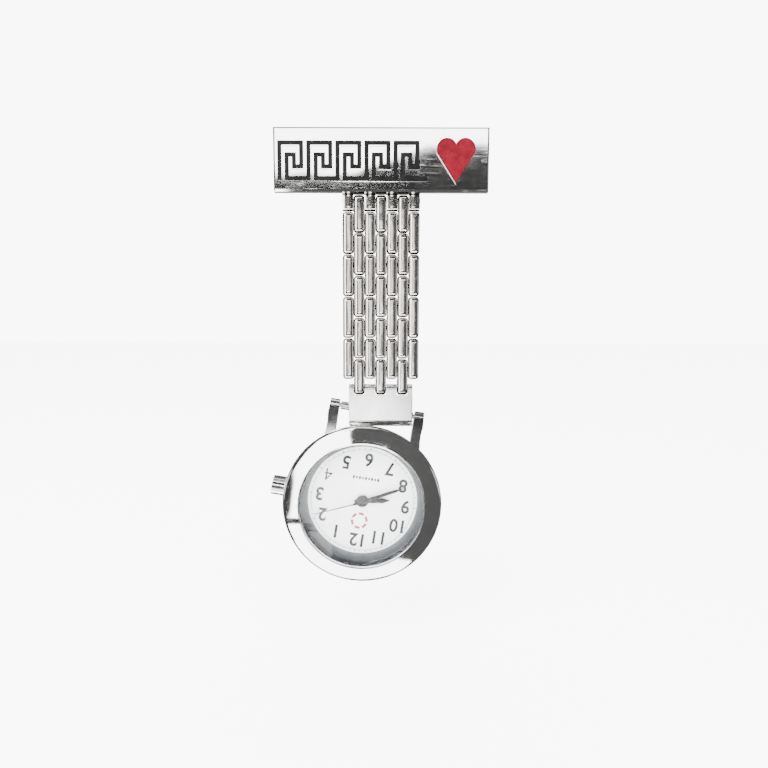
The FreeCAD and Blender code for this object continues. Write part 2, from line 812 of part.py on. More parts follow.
def make_spring_bar(frame):
    """The spring bar between the lugs: tube, inner spring and two tips."""
    tube = rod("x", ("-bar_half", 0, "lug_reach"), "2 * bar_half", "bar_radius")
    bore = rod("x", ("-bar_half - overshoot", 0, "lug_reach"), "2 * (bar_half + overshoot)", "bar_bore")
    node(cut(tube, [bore]), "spring_bar_tube", frame)
    tips = []
    for start, flange in (("-bar_tip_reach", "-bar_spring_half - bar_flange"), ("bar_spring_half",) * 2):
        shank = rod("x", (start, 0, "lug_reach"), "bar_tip_reach - bar_spring_half", "bar_tip_radius")
        tips.append(joined([shank, rod("x", (flange, 0, "lug_reach"), "bar_flange", "bar_bore")]))
    node(grouped(tips), "spring_bar_tips", frame)
    coil = rod("x", ("-bar_spring_half", 0, "lug_reach"), "2 * bar_spring_half", "bar_spring_radius")
    core = rod("x", ("-bar_spring_half - overshoot", 0, "lug_reach"), "2 * (bar_spring_half + overshoot)",
               "bar_spring_radius - bar_spring_wall")
    node(cut(coil, [core]), "spring_bar_spring", frame)


def lug(side):
    """A horn of the case on the left (-1) or the right (1): flared into the band, sloping to its tip."""
    tip = "lug_reach + lug_radius"
    face = new_body("lug_face")
    sketch = new_sketch(face, "XZ_Plane")
    sweep = f"{-side} * lug_sweep"
    corners = [("lug_inner", "lug_root"), ("lug_inner + lug_flare", "lug_root - lug_flare_drop"),
               ("lug_outer + lug_neck", "lug_reach - lug_neck_drop", sweep), ("lug_outer", tip),
               ("lug_inner", tip)]
    outline(sketch, [(f"{side} * ({corner[0]})", *corner[1:]) for corner in corners])
    pad(face, sketch, "-2 * case_front", symmetric=True)
    side_view = new_body("lug_side")
    sketch = new_sketch(side_view, "YZ_Plane")
    outline(sketch, [("case_front", "lug_root - lug_flare"), ("lug_radius", "lug_root - lug_flare"),
                     ("lug_radius", "lug_reach"), ("0", tip, "lug_radius"),
                     ("-lug_radius", "lug_reach", "lug_radius"), ("case_front", "lug_slope_start")])
    pad(side_view, sketch, "3 * lug_outer", symmetric=True)
    return shared([face, side_view])


def make_mid_case(frame):
    """The middle of the case with its lugs, crown hole and gasket groove."""
    groove = "case_back - groove_deep"
    band = turned("band", [("case_bore", "case_front"), ("case_radius - case_edge", "case_front"),
                           ("case_radius", "case_front + case_edge"), ("case_radius", "case_back - case_edge"),
                           ("case_radius - case_edge", "case_back"), ("groove_outer", "case_back"),
                           ("groove_outer", groove), ("groove_inner", groove),
                           ("groove_inner", "case_back"), ("case_bore", "case_back")])
    lugs = []
    holes = []
    for side in (-1, 1):
        lugs.append(lug(side))
        hole_low = "lug_inner - overshoot" if side > 0 else "-lug_inner - lug_hole_deep"
        holes.append(rod("x", (hole_low, 0, "lug_reach"), "lug_hole_deep + overshoot",
                         "bar_tip_radius + running_gap / 2"))
    wall = "case_radius - case_bore"
    holes.append(rod("x", ("-case_radius - overshoot", "crown_y", 0), f"{wall} + 2 * overshoot", "tube_radius"))
    node(cut(joined([band, *lugs]), holes), "mid_case", frame)


def make_case(frame):
    """The middle case and everything that closes it, with the dial inside."""
    make_mid_case(frame)
    node(turned("bezel_body", [("bezel_opening", "bezel_front"), ("bezel_opening", "glass_seat"),
                               ("glass_bore", "glass_seat"), ("glass_bore", "case_front"),
                               ("bezel_seat", "case_front"), ("bezel_radius", "bezel_wide_back"),
                               ("bezel_radius", "bezel_wide_front"),
                               ("bezel_brow", "bezel_brow_y", "-bezel_shoulder"),
                               ("bezel_opening + bezel_lip", "bezel_front", "-bezel_crown")]),
         "bezel", frame)
    lid = turned("lid", [("0", "back_face"), ("0", "lid_inside"), ("lid_skirt_inner", "lid_inside"),
                         ("lid_skirt_inner", "lid_skirt_front"), ("lid_skirt_outer", "lid_skirt_front"),
                         ("lid_skirt_outer", "case_back"), ("lid_radius", "case_back"),
                         ("lid_radius", "lid_rim_back"), ("lid_face_radius", "back_face")])
    notch = block(("-lid_notch_half", "case_back - overshoot", "-lid_radius - overshoot"),
                  ("lid_notch_half", "lid_notch_back", "-lid_radius + lid_notch_deep"))
    node(cut(lid, [notch]), "case_back", frame)
    node(ring("lid_seal", "groove_inner", "groove_outer", "case_back - groove_deep", "case_back"),
         "case_back_gasket", frame)
    node(turned("glass", [("0", "glass_hollow", "-glass_hollow_curve"), ("0", "glass_top"),
                          ("glass_step", "glass_edge", "glass_curve"), ("glass_step", "glass_seat"),
                          ("glass_radius", "glass_seat"), ("glass_radius", "glass_under"),
                          ("glass_hollow_radius", "glass_under")]),
         "crystal", frame)
    node(ring("glass_seal", "glass_radius", "glass_bore", "glass_seat", "glass_under"),
         "crystal_gasket", frame)
    node(turned("flange", [("rehaut_foot_radius", "dial_front"), ("rehaut_outer", "dial_front"),
                           ("rehaut_outer", "rehaut_top"), ("rehaut_top_radius", "rehaut_top")]),
         "rehaut_ring", frame)
    node(ring("dial_disc", "dial_hole", "dial_radius", "dial_front", "dial_back"), "dial", frame)


def knurl(sketch, teeth, outer, inner):
    """A closed outline of straight-sided grip ridges."""
    corners = []
    step = 360 / teeth
    for tooth in range(teeth):
        for share, radius in ((0, inner), (0.25, outer), (0.5, outer), (0.75, inner)):
            angle = math.radians((tooth + share) * step)
            corners.append((f"({radius}) * {math.cos(angle):.6f}", f"({radius}) * {math.sin(angle):.6f}"))
    outline(sketch, corners)


def make_crown(frame):
    """The crown at the left, its tube, gasket and stem."""
    tube = rod("x", ("-tube_end", "crown_y", 0), "tube_end - tube_root", "tube_radius")
    tube_hole = rod("x", ("-tube_end - overshoot", "crown_y", 0), "tube_end - tube_root + 2 * overshoot",
                    "tube_bore")
    node(cut(tube, [tube_hole]), "crown_tube", frame)
    seal = rod("x", ("-seal_start - seal_width", "crown_y", 0), "seal_width",
               "tube_radius + running_gap + seal_thick")
    seal_hole = rod("x", ("-tube_end", "crown_y", 0), "tube_end - tube_root", "tube_radius + running_gap")
    node(cut(seal, [seal_hole]), "crown_gasket", frame)
    knob = new_body("knob")
    sketch = new_sketch(knob, "YZ_Plane")
    knurl(sketch, int(value("crown_ridges")), "crown_radius", "crown_radius - ridge_height")
    pad(knob, sketch, "crown_end - crown_start")
    knob.Placement.Base = spot("-crown_end", "crown_y", 0)
    recess = rod("x", ("-recess_end", "crown_y", 0), "recess_end - crown_start + overshoot",
                 "tube_radius + 2 * running_gap + seal_thick")
    socket = rod("x", ("-stem_end", "crown_y", 0), "stem_end - crown_start", "stem_radius")
    node(cut(knob, [recess, socket]), "crown", frame)
    stem = rod("x", ("-stem_end", "crown_y", 0), "stem_end - stem_inner", "stem_radius")
    node(grouped([stem]), "crown_stem", frame)


# ---------------------------------------------------------------- movement

def polar(distance, degrees):
    """A place in the head's plane: (to the right, up)."""
    return distance * math.cos(math.radians(degrees)), distance * math.sin(math.radians(degrees))


def spacing(mesh):
    """The distance between the arbors of a wheel and its pinion."""
    wheel, pinion, module = mesh
    return (wheel + pinion) * module / 2


def gear(centre, teeth, module, front, back, tooth_angle):
    """A spur gear about an axis along Y, with one tooth centred on tooth_angle in degrees."""
    pitch_radius = teeth * module / 2
    levels = [(pitch_radius + out * module, share) for out, share in TOOTH_LEVELS]
    points = []
    for tooth in range(teeth):
        middle = math.radians(tooth_angle) + 2 * math.pi * tooth / teeth
        flank = [(radius, -share) for radius, share in levels]
        flank += [(radius, share) for radius, share in reversed(levels)]
        for radius, share in flank:
            angle = middle + share * 2 * math.pi / teeth
            points.append(FreeCAD.Vector(centre[0] + radius * math.cos(angle), front,
                                         centre[1] + radius * math.sin(angle)))
    wire = Part.makePolygon(points + points[:1])
    return Part.Face(wire).extrude(FreeCAD.Vector(0, back - front, 0))


def wheel(centre, mesh, front, back, bearing):
    """The wheel of a mesh whose pinion lies that way from it: a tooth points at the pinion."""
    return gear(centre, mesh[0], mesh[2], front, back, bearing)


def pinion(centre, mesh, front, back, bearing):
    """The pinion of a mesh whose wheel points that way at it: a gap faces the wheel."""
    return gear(centre, mesh[1], mesh[2], front, back, bearing + 180 + 180 / mesh[1])


def arbor(centre, radius, front, back):
    """A plain cylinder along Y."""
    return Part.makeCylinder(radius, back - front, FreeCAD.Vector(centre[0], front, centre[1]),
                             FreeCAD.Vector(0, 1, 0))


def through_hole(centre, radius):
    """A cutting tool along Y that passes right through."""
    return arbor(centre, radius, -value("through"), value("through"))


def train_places():
    """Where the arbors stand in the head's plane."""
    third = polar(spacing(CENTRE_THIRD), THIRD_BEARING)
    fifth = polar(spacing(FOURTH_FIFTH), FIFTH_BEARING)
    rotor = polar(spacing(FOURTH_FIFTH) + spacing(FIFTH_ROTOR), FIFTH_BEARING)
    minute = polar(spacing(MINUTE_CANNON), MINUTE_BEARING)
    return third, fifth, rotor, minute


def make_train(frame):
    """Rotor and gear train between the plates, in mesh at rest."""
    hub = (0.0, 0.0)
    third, fifth, rotor, _ = train_places()
    thin, ends = value("arbor_radius"), (value("arbor_front"), value("arbor_back"))
    levels = [value("train_first") + k * value("train_step") for k in range(5)]
    thick = value("wheel_thick")
    back_to_hub = THIRD_BEARING - 180
    gap = value("running_gap")
    magnet = arbor(rotor, value("rotor_radius"), levels[0], value("rotor_back"))
    node(shaped("rotor_solid", magnet.multiFuse([
        pinion(rotor, FIFTH_ROTOR, levels[3] - gap, levels[3] + value("rotor_leaf_proud"), FIFTH_BEARING),
        arbor(rotor, thin, *ends)])), "rotor", frame)
    node(shaped("fifth", wheel(fifth, FIFTH_ROTOR, levels[3], levels[3] + thick, FIFTH_BEARING).multiFuse([
        pinion(fifth, FOURTH_FIFTH, levels[2], levels[3], FIFTH_BEARING),
        arbor(fifth, thin, *ends)])), "fifth_wheel", frame)
    seconds_end = value("seconds_hand_front - pipe_proud")
    node(shaped("fourth", wheel(hub, FOURTH_FIFTH, levels[2], levels[2] + thick, FIFTH_BEARING).multiFuse([
        pinion(hub, THIRD_FOURTH, levels[1], levels[2], back_to_hub),
        arbor(hub, value("fourth_radius"), seconds_end, ends[1])])), "fourth_wheel", frame)
    node(shaped("third", wheel(third, THIRD_FOURTH, levels[1], levels[1] + thick, back_to_hub).multiFuse([
        pinion(third, CENTRE_THIRD, levels[0], levels[1], THIRD_BEARING),
        arbor(third, thin, *ends)])), "third_wheel", frame)
    make_motion_work(frame, levels[0])
    make_plates(frame)


def make_motion_work(frame, wheel_front):
    """The centre wheel with its cannon, the minute wheel beside it and the hour wheel over it."""
    hub = (0.0, 0.0)
    minute = train_places()[3]
    split, back = value("motion_split"), value("motion_back")
    to_hub = MINUTE_BEARING + 180
    wheel_back = wheel_front + value("wheel_thick")
    cannon_end = value("minute_hand_front - pipe_proud")
    cannon = wheel(hub, CENTRE_THIRD, wheel_front, wheel_back, THIRD_BEARING).multiFuse([
        gear(hub, MINUTE_CANNON[1], MINUTE_CANNON[2], split, back, MINUTE_BEARING),
        arbor(hub, value("cannon_radius"), cannon_end, wheel_back)])
    node(shaped("centre", cannon.cut(through_hole(hub, value("cannon_bore")))), "centre_wheel", frame)
    front = value("hour_gear_front")
    half_tooth = 180 / MINUTE_CANNON[0]
    pair = gear(minute, MINUTE_CANNON[0], MINUTE_CANNON[2], split, back, to_hub + half_tooth).multiFuse([
        gear(minute, HOUR_MINUTE[1], HOUR_MINUTE[2], front, split, to_hub)])
    bore = through_hole(minute, value("stud_radius + running_gap"))
    node(shaped("minute", pair.cut(bore)), "minute_wheel", frame)
    half_tooth = 180 / HOUR_MINUTE[0]
    gear_back = value("hour_gear_back")
    pipe_end = value("hour_hand_front - pipe_proud")
    hour = gear(hub, HOUR_MINUTE[0], HOUR_MINUTE[2], front, gear_back, MINUTE_BEARING + half_tooth).fuse(
        arbor(hub, value("pipe_radius"), pipe_end, gear_back))
    node(shaped("hour", hour.cut(through_hole(hub, value("pipe_bore")))), "hour_wheel", frame)


def make_main_plate(frame):
    """The plate that carries the train, with the stud for the minute wheel."""
    third, fifth, rotor, minute = train_places()
    front, back = value("plate_front"), value("plate_back")
    battery = polar(value("battery_distance"), BATTERY_BEARING)
    disc = arbor((0, 0), value("plate_radius"), front, back)
    holes = [through_hole(battery, value("battery_radius + running_gap")),
             through_hole((0, 0), value("pipe_bore"))]
    holes += [through_hole(place, value("jewel_radius")) for place in (third, fifth, rotor)]
    half, deep = value("stem_slot_half"), value("through")
    edge = value("plate_radius + overshoot")
    holes.append(Part.makeBox(edge - value("stem_inner - 2 * running_gap"), 2 * deep, 2 * half,
                              FreeCAD.Vector(-edge, -deep, -half)))
    stud = arbor(minute, value("stud_radius"), value("stud_front"), (front + back) / 2)
    node(shaped("plate", disc.cut(Part.makeCompound(holes)).fuse(stud)), "main_plate", frame)


def make_bridge(frame):
    """The rear bridge: bars from foot to foot by way of every arbor."""
    third, fifth, rotor, _ = train_places()
    route = [BRIDGE_FEET[0], third, (0.0, 0.0), fifth, rotor, BRIDGE_FEET[1]]
    front, back, half = value("bridge_front"), value("bridge_back"), value("bridge_half")
    pieces = [arbor(foot, value("foot_radius"), value("plate_back"), back) for foot in BRIDGE_FEET]
    for (x0, z0), (x1, z1) in zip(route, route[1:]):
        span = math.hypot(x1 - x0, z1 - z0)
        bar = Part.makeBox(span, back - front, 2 * half, FreeCAD.Vector(0, front, -half))
        turn = FreeCAD.Rotation(FreeCAD.Vector(0, 1, 0), -math.degrees(math.atan2(z1 - z0, x1 - x0)))
        bar.Placement = FreeCAD.Placement(FreeCAD.Vector(x0, 0, z0), turn)
        pieces += [bar, arbor((x0, z0), half, front, back), arbor((x1, z1), half, front, back)]
    jewels = [through_hole(place, value("jewel_radius")) for place in (third, fifth, rotor)]
    jewels.append(through_hole((0, 0), value("fourth_radius + running_gap")))
    bridge = pieces[0].multiFuse(pieces[1:]).cut(Part.makeCompound(jewels))
    node(shaped("bridge", bridge.removeSplitter()), "train_bridge", frame)


def make_plates(frame):
    """Main plate, train bridge, holder, battery and electrical parts."""
    make_main_plate(frame)
    make_bridge(frame)
    holder = ring("holder_ring", "plate_radius + running_gap", "dial_radius", "dial_back", "holder_back")
    stem_way = rod("x", ("-case_bore", "crown_y", 0), "case_bore - plate_radius + overshoot",
                   "stem_slot_half")
    node(cut(holder, [stem_way]), "movement_holder", frame)
    battery = polar(value("battery_distance"), BATTERY_BEARING)
    cell = arbor(battery, value("battery_radius"), value("battery_front"), value("battery_back"))
    node(shaped("cell", cell), "battery", frame)
    make_circuit(frame)


def make_circuit(frame):
    """Stator with its core, coil, circuit board and quartz can."""
    rotor = train_places()[2]
    pole = Part.makeBox(value("stator_right - stator_left"), value("stator_back - stator_front"),
                        value("stator_high - stator_low"), spot("stator_left", "stator_front", "stator_low"))
    core = Part.makeBox(value("stator_right - core_left"), value("core_back - core_front"),
                        value("stator_high - core_low"), spot("core_left", "core_front", "core_low"))
    stator = pole.fuse(core).cut(through_hole(rotor, value("stator_hole")))
    node(shaped("stator_solid", stator.removeSplitter()), "stator", frame)
    middle = ("(core_left + stator_right) / 2", "(core_front + core_back) / 2 + running_gap / 2")
    winding = rod("z", (*middle, "coil_low"), "coil_length", "coil_radius")
    bore = rod("z", (*middle, "coil_low - overshoot"), "coil_length + 2 * overshoot", "coil_bore")
    node(cut(winding, [bore]), "coil", frame)
    board = block(("board_left", "stator_front", "board_low"), ("board_right", "board_back", "board_high"))
    node(grouped([board]), "circuit_board", frame)
    can = rod("x", ("quartz_left", "board_back + quartz_radius + running_gap / 2", "quartz_up"),
              "quartz_length", "quartz_radius")
    node(grouped([can]), "quartz_can", frame)


# ---------------------------------------------------------------- hands

def hand(name, corners, front, clock_degrees, hub_hole, frame):
    """A flat hand on the dial; corners are (half width, reach) along its right edge, tail first."""
    body = new_body(f"{name}_blade")
    sketch = new_sketch(body, "XZ_Plane")
    left = [(-half, reach) for half, reach in reversed(corners)]
    outline(sketch, [(str(x), str(z)) for x, z in corners + left])
    pad(body, sketch, "hand_thick")
    boss = rod("y", (0, "-hand_thick - boss_proud", 0), "hand_thick + boss_proud", f"{hub_hole} + boss_grow")
    bore = rod("y", (0, "-through", 0), "2 * through", hub_hole)
    turn = FreeCAD.Rotation(FreeCAD.Vector(0, 1, 0), 180 + clock_degrees)
    place = FreeCAD.Placement(spot(0, f"{front} + hand_thick", 0), turn)
    node(cut(joined([body, boss]), [bore]), name, frame.multiply(place))


def make_hands(frame):
    """Hour, minute and seconds hands, reading about twenty to nine on the inverted dial."""
    hand("hour_hand", [(0.3, -1.5), (0.45, 0), (0.5, 3.4), (0.05, 5.2)], "hour_hand_front",
         HOUR_HAND_ANGLE, "pipe_radius", frame)
    hand("minute_hand", [(0.25, -1.8), (0.4, 0), (0.38, 6.4), (0.05, 8.4)], "minute_hand_front",
         MINUTE_HAND_ANGLE, "cannon_radius", frame)
    hand("seconds_hand", [(0.22, -2.8), (0.12, 0), (0.06, 9.2)], "seconds_hand_front",
         SECONDS_HAND_ANGLE, "fourth_radius", frame)


# ---------------------------------------------------------------- whole object

def check_and_export():
    """Stop if anything failed, then write one file for each sub-part."""
    doc.recompute()
    for thing in doc.Objects:
        if any(word in str(thing.State) for word in ("Invalid", "Error")):
            raise RuntimeError(f"{thing.Label} is {thing.State}")
    os.makedirs("parts", exist_ok=True)
    for thing in nodes:
        if thing.Shape.isNull() or not thing.Shape.isValid():
            raise RuntimeError(f"{thing.Label} has no valid shape")
    for thing in nodes:
        thing.Shape.exportStep(f"parts/{thing.Label}.step")
    print(len(nodes), "sub-parts written")


def main():
    """Build every sub-part."""
    fill_sheet()
    make_bar()
    make_base()
    make_catch_sleeve()
    make_needle()
    make_hanger()
    make_strap()
    make_end_link()
    frame = head_frame()
    make_spring_bar(frame)
    make_case(frame)
    make_crown(frame)
    make_train(frame)
    make_hands(frame)
    check_and_export()


main()
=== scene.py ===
"""Looks of the fob watch: materials, dial printing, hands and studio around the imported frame."""
import json
import math

import bmesh
import bpy
from mathutils import Matrix, Vector


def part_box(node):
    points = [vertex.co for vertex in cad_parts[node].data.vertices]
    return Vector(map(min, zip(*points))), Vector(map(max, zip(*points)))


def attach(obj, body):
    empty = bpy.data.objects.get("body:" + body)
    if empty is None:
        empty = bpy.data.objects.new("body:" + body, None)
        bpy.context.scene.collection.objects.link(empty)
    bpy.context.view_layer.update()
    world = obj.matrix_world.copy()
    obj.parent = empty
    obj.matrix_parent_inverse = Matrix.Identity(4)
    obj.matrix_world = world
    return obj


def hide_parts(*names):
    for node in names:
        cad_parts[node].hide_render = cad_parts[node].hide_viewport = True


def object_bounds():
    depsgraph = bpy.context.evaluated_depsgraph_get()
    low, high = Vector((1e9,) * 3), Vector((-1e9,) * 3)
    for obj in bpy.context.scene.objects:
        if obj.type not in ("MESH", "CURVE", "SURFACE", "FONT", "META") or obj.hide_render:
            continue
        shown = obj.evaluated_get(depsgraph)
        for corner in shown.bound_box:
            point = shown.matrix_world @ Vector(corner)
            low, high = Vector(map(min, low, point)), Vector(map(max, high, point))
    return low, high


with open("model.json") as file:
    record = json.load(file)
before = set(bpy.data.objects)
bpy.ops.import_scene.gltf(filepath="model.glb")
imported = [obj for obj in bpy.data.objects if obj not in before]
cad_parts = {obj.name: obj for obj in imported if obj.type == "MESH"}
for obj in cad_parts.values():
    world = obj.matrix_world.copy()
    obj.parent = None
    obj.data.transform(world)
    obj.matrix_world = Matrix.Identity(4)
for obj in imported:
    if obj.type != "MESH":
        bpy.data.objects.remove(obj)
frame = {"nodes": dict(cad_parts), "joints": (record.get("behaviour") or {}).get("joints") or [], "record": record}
cad_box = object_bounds()

MM = 0.001
nodes = frame["nodes"]
joints = {joint["name"]: joint for joint in frame["joints"]}


# ---------------------------------------------------------------- places read from the frame

def head_matrix():
    """The dial centre's frame: X to the right and Z up on the skewed head, Y through the dial."""
    axis = Vector(joints["head_flip"]["axis"])
    skew = math.atan2(-axis.z, axis.x)
    centre = Vector(joints["minute_turn"]["pos_m"])
    return Matrix.Translation(centre) @ Matrix.Rotation(skew, 4, "Y")


HEAD = head_matrix()


def low(node):
    """The lowest corner of a CAD node as a vector."""
    return Vector(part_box(node)[0])


DIAL_FACE = low("dial").y - HEAD.translation.y


# ---------------------------------------------------------------- node graphs

class Tree:
    """Short calls for building a node tree."""

    def __init__(self, tree):
        self.tree = tree

    def add(self, kind, inputs=None, **settings):
        """A node with its settings made and its inputs linked or given values."""
        made = self.tree.nodes.new(kind)
        for key, setting in settings.items():
            setattr(made, key, setting)
        for key, value in (inputs or {}).items():
            self.feed(made.inputs[key], value)
        return made

    def feed(self, socket, value):
        """Link a socket or set its value."""
        if isinstance(value, bpy.types.NodeSocket):
            self.tree.links.new(value, socket)
        else:
            socket.default_value = value

    def math(self, operation, first, second=0.0):
        """A math node's result."""
        return self.add("ShaderNodeMath", {0: first, 1: second}, operation=operation).outputs[0]

    def remap(self, value, limits):
        """A value taken from one range to another; each is 0 to 1 unless a limit says otherwise."""
        return self.add("ShaderNodeMapRange", {"Value": value, **limits}).outputs[0]

    def step(self, value, start, end):
        """A share that goes from 0 at start to 1 at end."""
        return self.remap(value, {"From Min": start, "From Max": end})

    def span(self, value, start, end):
        """A value of 0 to 1 spread over start to end."""
        return self.remap(value, {"To Min": start, "To Max": end})


class Graph(Tree):
    """One material's nodes, with texture space in millimetres."""

    def __init__(self, name):
        self.material = bpy.data.materials.new(name)
        self.material.use_nodes = True
        super().__init__(self.material.node_tree)
        self.shader = self.tree.nodes["Principled BSDF"]
        place = self.add("ShaderNodeTexCoord").outputs["Object"]
        scaled = self.add("ShaderNodeVectorMath", {0: place, 1: (1 / MM,) * 3}, operation="MULTIPLY")
        self.place = scaled.outputs[0]

    def stretched(self, scale):
        """The millimetre space scaled along each axis."""
        scaled = self.add("ShaderNodeVectorMath", {0: self.place, 1: scale}, operation="MULTIPLY")
        return scaled.outputs[0]

    def noise(self, scale, detail=3.0, rough=0.5, space=None):
        """A noise value of so many features per millimetre."""
        inputs = {"Vector": space or self.place, "Scale": scale, "Detail": detail, "Roughness": rough}
        return self.add("ShaderNodeTexNoise", inputs).outputs["Fac"]

    def ramp(self, value, *stops):
        """A value remapped through (position, level) stops."""
        made = self.add("ShaderNodeValToRGB", {"Fac": value})
        band = made.color_ramp
        while len(band.elements) < len(stops):
            band.elements.new(0.5)
        for element, (position, level) in zip(band.elements, stops):
            element.position = position
            colour = (level,) * 3 if isinstance(level, (int, float)) else level
            element.color = (*colour, 1)
        return made.outputs["Color"]

    def mix(self, share, first, second):
        """A colour between two others."""
        made = self.add("ShaderNodeMix", data_type="RGBA")
        self.feed(made.inputs[0], share)
        self.feed(made.inputs[6], first)
        self.feed(made.inputs[7], second)
        return made.outputs[2]

    def bump(self, height, distance_mm, strength=1.0, before=None):
        """A normal from a height of 0 to 1 over a distance in millimetres."""
        inputs = {"Height": height, "Distance": distance_mm * MM, "Strength": strength}
        if before is not None:
            inputs["Normal"] = before
        return self.add("ShaderNodeBump", inputs).outputs["Normal"]

    def crowned(self, pitch, depth, before=None):
        """A normal as if each column of a strap were crowned by a depth, in millimetres."""
        across = self.add("ShaderNodeSeparateXYZ", {0: self.place}).outputs[0]
        half = 0.5
        fall = -1 / (half * half)
        column = self.math("FRACT", self.math("ADD", self.math("DIVIDE", across, pitch), half))
        off = self.math("SUBTRACT", column, half)
        height = self.math("MULTIPLY", self.math("MULTIPLY", off, off), fall)
        return self.bump(height, depth, 1.0, before)

    def from_dial_centre(self):
        """The distance from the head's middle axis, in millimetres."""
        centre = tuple(HEAD.translation / MM)
        around = self.add("ShaderNodeVectorMath", {0: self.place, 1: centre}, operation="SUBTRACT")
        parts = self.add("ShaderNodeSeparateXYZ", {0: around.outputs[0]})
        squares = [self.math("MULTIPLY", parts.outputs[i], parts.outputs[i]) for i in (0, 2)]
        return self.math("SQRT", self.math("ADD", *squares))

    def set(self, **inputs):
        """Feed the shader's sockets; an underscore stands for a space."""
        for key, value in inputs.items():
            self.feed(self.shader.inputs[key.replace("_", " ")], value)
        return self.material


def rgb(red, green, blue):
    """A colour with full alpha."""
    return (red, green, blue, 1.0)


# ---------------------------------------------------------------- metals

PIT_SHADE = 0.45
# How dark the painted shade in narrow hollows is, as a share of the dark tone.
HOLLOW_PAINTED_SHADE = 0.06
SCRATCH_ROUGHNESS = 0.12


def metal(name, tone, dark_tone, rough, rough_spread, grain, grain_mm, wear, wave=None, hollow_mm=None,
          crown=None):
    """A metal with smudges, hairline scratches along a grain, pits and a slightly uneven surface.

    The wave is how many swells there are per millimetre, and how deep they are.  Painted shade from an
    occlusion node darkens every hollow that is narrower than hollow_mm.  A crown is the pitch and depth
    of a strap's columns.
    """
    graph = Graph(name)
    smudge = graph.noise(0.35, 5.0, 0.6)
    speck = graph.noise(6.0, 3.0, 0.7)
    hairline = graph.noise(1.0, 4.0, 0.65, graph.stretched(grain))
    shade = graph.mix(graph.ramp(smudge, (0.35, 0.0), (0.75, 1.0)), rgb(*tone), rgb(*dark_tone))
    pits = graph.ramp(speck, (0.28, 1.0), (0.36, 0.0))
    shade = graph.mix(graph.math("MULTIPLY", pits, wear), shade, rgb(*(c * PIT_SHADE for c in dark_tone)))
    # Painted shade: an occlusion node darkens narrow hollows almost to black, standing in for shade between parts.
    if hollow_mm:
        sky = graph.add("ShaderNodeAmbientOcclusion", {"Distance": hollow_mm * MM}, samples=6)
        painted_hollow_shade = graph.ramp(sky.outputs["AO"], (0.45, 1.0), (0.85, 0.0))
        shade = graph.mix(painted_hollow_shade, shade, rgb(*(c * HOLLOW_PAINTED_SHADE for c in dark_tone)))
    base_rough = graph.span(smudge, rough - rough_spread, rough + rough_spread)
    scratches = graph.math("MULTIPLY", graph.ramp(hairline, (0.55, 0.0), (0.8, 1.0)), SCRATCH_ROUGHNESS)
    normal = graph.bump(hairline, grain_mm, 0.6)
    if wave:
        swells, deep = wave
        normal = graph.bump(graph.noise(swells, 1.0, 0.4), deep, 1.0, normal)
    if crown:
        normal = graph.crowned(*crown, normal)
    return graph.set(Base_Color=shade, Metallic=1.0, Roughness=graph.math("ADD", base_rough, scratches),
                     Normal=normal)


def polished_metal():
    """Mirror-polished plating with faint hairlines and slow waves from polishing."""
    return metal("polished_metal", tone=(0.93, 0.93, 0.92), dark_tone=(0.84, 0.84, 0.83),
                 rough=0.05, rough_spread=0.03, grain=(0.6, 3, 9), grain_mm=0.0001, wear=0.2,
                 wave=(0.16, 0.012))


def bar_metal():
    """The bar's stamped front: polished, but less flat than the case."""
    return metal("bar_metal", tone=(0.93, 0.93, 0.915), dark_tone=(0.82, 0.82, 0.81),
                 rough=0.05, rough_spread=0.03, grain=(0.5, 3, 7), grain_mm=0.0001, wear=0.3,
                 wave=(0.11, 0.045))


def strap_metal():
    """Tumbled link plating: swelling faces, more wear and painted shade darkening the hollows between links."""
    return metal("strap_metal", tone=(0.88, 0.845, 0.81), dark_tone=(0.60, 0.545, 0.50),
                 rough=0.08, rough_spread=0.03, grain=(7, 7, 0.8), grain_mm=0.0003, wear=0.6,
                 wave=(0.42, 0.03), hollow_mm=1.1, crown=(2.0, 0.07))


def satin_metal():
    """The end plate: fine satin plating."""
    return metal("satin_metal", tone=(0.94, 0.94, 0.93), dark_tone=(0.86, 0.86, 0.85),
                 rough=0.17, rough_spread=0.04, grain=(6, 6, 0.5), grain_mm=0.0006, wear=0.3,
                 wave=(0.2, 0.01))


def stamped_metal():
    """Plain nickel stampings on the back of the bar, with a tumbled surface."""
    return metal("stamped_metal", tone=(0.72, 0.71, 0.68), dark_tone=(0.50, 0.49, 0.46),
                 rough=0.26, rough_spread=0.07, grain=(4, 4, 4), grain_mm=0.0015, wear=0.7,
                 wave=(0.3, 0.02))


def steel():
    """Drawn wire and turned pins."""
    return metal("steel", tone=(0.70, 0.70, 0.71), dark_tone=(0.52, 0.52, 0.53),
                 rough=0.18, rough_spread=0.05, grain=(0.4, 9, 9), grain_mm=0.0008, wear=0.5)


def brass():
    """Machined movement brass."""
    return metal("brass", tone=(0.83, 0.62, 0.27), dark_tone=(0.62, 0.44, 0.18),
                 rough=0.24, rough_spread=0.06, grain=(3, 3, 3), grain_mm=0.0008, wear=0.5)


def back_metal():
    """The case back, turned so that its fine grain runs in circles, under a thin dull film."""
    graph = Graph("back_metal")
    turns_per_mm = 14.0
    radius = graph.math("MULTIPLY", graph.from_dial_centre(), turns_per_mm)
    rings = graph.add("ShaderNodeCombineXYZ", {0: radius}).outputs[0]
    grain = graph.noise(1.0, 3.0, 0.6, rings)
    smudge = graph.noise(0.3, 4.0, 0.6)
    shade = graph.mix(graph.span(grain, 0.0, 1.0), rgb(0.74, 0.74, 0.74), rgb(0.56, 0.56, 0.57))
    rough = graph.math("ADD", graph.span(grain, 0.18, 0.30), graph.span(smudge, -0.04, 0.08))
    return graph.set(Base_Color=shade, Metallic=0.92, Roughness=rough,
                     Normal=graph.bump(grain, 0.004, 0.7))


